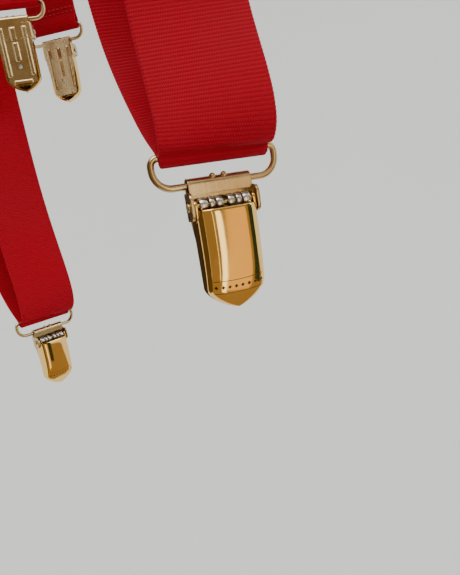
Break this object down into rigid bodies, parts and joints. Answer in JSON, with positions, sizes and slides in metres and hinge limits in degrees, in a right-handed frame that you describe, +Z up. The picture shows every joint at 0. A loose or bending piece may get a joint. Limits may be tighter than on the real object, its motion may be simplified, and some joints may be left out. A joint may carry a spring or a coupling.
{
  "type": "suspenders",
  "caption": "Clip-on elastic suspenders with a crossed back, leather cross patch, sliding adjusters and hinged gold clips on wire loops.",
  "frame": {"origin": "middle of the rail's axis, half way between the two shoulders that hang over it", "axes": "+X towards the wearer's left shoulder along the rail, +Y towards the wearer's back, +Z up"},
  "size_m": [0.2593, 0.0934, 0.6323],
  "materials": {
    "webbing": "matte ribbed elastic weave",
    "polished_gold": "mirror polished gold plate",
    "satin_brass": "satin champagne plate",
    "steel": "bright nickel plate",
    "leather": "smooth dark brown",
    "pad": "matte"
  },
  "bodies": {
    "webbing": {"left_strap_shoulder": "webbing", "left_strap_front_twist": "webbing", "left_strap_front": "webbing", "left_strap_return": "webbing", "left_strap_diagonal": "webbing", "left_strap_tail": "webbing", "right_strap_shoulder": "webbing", "right_strap_front_twist": "webbing", "right_strap_front": "webbing", "right_strap_return": "webbing", "right_strap_diagonal": "webbing", "right_strap_tail": "webbing", "patch_inner_leather": "leather", "patch_outer_leather": "leather"},
    "front_left_loop": {"front_left_wire_loop": "satin_brass"},
    "front_left_clip": {"front_left_back_plate": "satin_brass", "front_left_pivot_pin": "steel", "front_left_grip_pad": "pad"},
    "front_left_cover": {"front_left_cover_lever": "polished_gold"},
    "front_left_jaw": {"front_left_jaw_plate": "steel"},
    "front_right_loop": {"front_right_wire_loop": "satin_brass"},
    "front_right_clip": {"front_right_back_plate": "satin_brass", "front_right_pivot_pin": "steel", "front_right_grip_pad": "pad"},
    "front_right_cover": {"front_right_cover_lever": "polished_gold"},
    "front_right_jaw": {"front_right_jaw_plate": "steel"},
    "back_left_loop": {"back_left_wire_loop": "satin_brass"},
    "back_left_clip": {"back_left_back_plate": "satin_brass", "back_left_pivot_pin": "steel", "back_left_grip_pad": "pad"},
    "back_left_cover": {"back_left_cover_lever": "polished_gold"},
    "back_left_jaw": {"back_left_jaw_plate": "steel"},
    "back_right_loop": {"back_right_wire_loop": "satin_brass"},
    "back_right_clip": {"back_right_back_plate": "satin_brass", "back_right_pivot_pin": "steel", "back_right_grip_pad": "pad"},
    "back_right_cover": {"back_right_cover_lever": "polished_gold"},
    "back_right_jaw": {"back_right_jaw_plate": "steel"},
    "left_adjuster": {"left_adjuster_frame": "satin_brass", "left_adjuster_pin": "steel"},
    "left_lever": {"left_adjuster_lever": "polished_gold"},
    "right_adjuster": {"right_adjuster_frame": "satin_brass", "right_adjuster_pin": "steel"},
    "right_lever": {"right_adjuster_lever": "polished_gold"}
  },
  "joints": [
    {"name": "front_left_loop_swing", "type": "hinge", "parent": "webbing", "child": "front_left_loop", "pos_m": [0.098, -0.01705, -0.49705], "axis": [0.3469, 0.9379, 0], "range_deg": [-30, 30]},
    {"name": "front_left_clip_swing", "type": "hinge", "parent": "front_left_loop", "child": "front_left_clip", "pos_m": [0.098, -0.01705, -0.50555], "axis": [0.3469, 0.9379, 0], "range_deg": [-30, 30]},
    {"name": "front_left_cover_hinge", "type": "hinge", "parent": "front_left_clip", "child": "front_left_cover", "pos_m": [0.10016, -0.01785, -0.5114], "axis": [-0.3469, -0.9379, 0], "range_deg": [0, 80]},
    {"name": "front_left_jaw_hinge", "type": "hinge", "parent": "front_left_clip", "child": "front_left_jaw", "pos_m": [0.10016, -0.01785, -0.5114], "axis": [-0.3469, -0.9379, 0], "range_deg": [0, 16]},
    {"name": "front_right_loop_swing", "type": "hinge", "parent": "webbing", "child": "front_right_loop", "pos_m": [-0.098, -0.01705, -0.56855], "axis": [-0.1392, 0.9903, 0], "range_deg": [-30, 30]},
    {"name": "front_right_clip_swing", "type": "hinge", "parent": "front_right_loop", "child": "front_right_clip", "pos_m": [-0.098, -0.01705, -0.57705], "axis": [-0.1392, 0.9903, 0], "range_deg": [-30, 30]},
    {"name": "front_right_cover_hinge", "type": "hinge", "parent": "front_right_clip", "child": "front_right_cover", "pos_m": [-0.09572, -0.01673, -0.5829], "axis": [0.1392, -0.9903, 0], "range_deg": [0, 80]},
    {"name": "front_right_jaw_hinge", "type": "hinge", "parent": "front_right_clip", "child": "front_right_jaw", "pos_m": [-0.09572, -0.01673, -0.5829], "axis": [0.1392, -0.9903, 0], "range_deg": [0, 16]},
    {"name": "back_left_loop_swing", "type": "hinge", "parent": "webbing", "child": "back_left_loop", "pos_m": [-0.0747, -0.0032, -0.39305], "axis": [-0.5358, -0.8443, 0], "range_deg": [-30, 30]},
    {"name": "back_left_clip_swing", "type": "hinge", "parent": "back_left_loop", "child": "back_left_clip", "pos_m": [-0.0747, -0.0032, -0.40155], "axis": [-0.5358, -0.8443, 0], "range_deg": [-30, 30]},
    {"name": "back_left_cover_hinge", "type": "hinge", "parent": "back_left_clip", "child": "back_left_cover", "pos_m": [-0.07664, -0.00197, -0.4074], "axis": [0.5358, 0.8443, 0], "range_deg": [0, 80]},
    {"name": "back_left_jaw_hinge", "type": "hinge", "parent": "back_left_clip", "child": "back_left_jaw", "pos_m": [-0.07664, -0.00197, -0.4074], "axis": [0.5358, 0.8443, 0], "range_deg": [0, 16]},
    {"name": "back_right_loop_swing", "type": "hinge", "parent": "webbing", "child": "back_right_loop", "pos_m": [-0.1087, 0.0352, -0.39045], "axis": [-0.7593, -0.6508, 0], "range_deg": [-30, 30]},
    {"name": "back_right_clip_swing", "type": "hinge", "parent": "back_right_loop", "child": "back_right_clip", "pos_m": [-0.1087, 0.0352, -0.39895], "axis": [-0.7593, -0.6508, 0], "range_deg": [-30, 30]},
    {"name": "back_right_cover_hinge", "type": "hinge", "parent": "back_right_clip", "child": "back_right_cover", "pos_m": [-0.1102, 0.03695, -0.4048], "axis": [0.7593, 0.6508, 0], "range_deg": [0, 80]},
    {"name": "back_right_jaw_hinge", "type": "hinge", "parent": "back_right_clip", "child": "back_right_jaw", "pos_m": [-0.1102, 0.03695, -0.4048], "axis": [0.7593, 0.6508, 0], "range_deg": [0, 16]},
    {"name": "left_adjuster_slide", "type": "slide", "parent": "webbing", "child": "left_adjuster", "axis": [0, 0, 1], "range_m": [-0.05, 0.07], "deforming": ["left_strap_return"]},
    {"name": "left_lever_hinge", "type": "hinge", "parent": "left_adjuster", "child": "left_lever", "pos_m": [0.10072, -0.01806, -0.289], "axis": [-0.3469, -0.9379, 0], "range_deg": [0, 60]},
    {"name": "right_adjuster_slide", "type": "slide", "parent": "webbing", "child": "right_adjuster", "axis": [0, 0, 1], "range_m": [-0.02, 0.07], "deforming": ["right_strap_return"]},
    {"name": "right_lever_hinge", "type": "hinge", "parent": "right_adjuster", "child": "right_lever", "pos_m": [-0.09513, -0.01665, -0.2655], "axis": [0.1392, -0.9903, 0], "range_deg": [0, 60]}
  ],
  "couplings": [
    {"joint": "front_left_jaw_hinge", "follows": "front_left_cover_hinge", "ratio": 0.2},
    {"joint": "front_right_jaw_hinge", "follows": "front_right_cover_hinge", "ratio": 0.2},
    {"joint": "back_left_jaw_hinge", "follows": "back_left_cover_hinge", "ratio": 0.2},
    {"joint": "back_right_jaw_hinge", "follows": "back_right_cover_hinge", "ratio": 0.2}
  ]
}
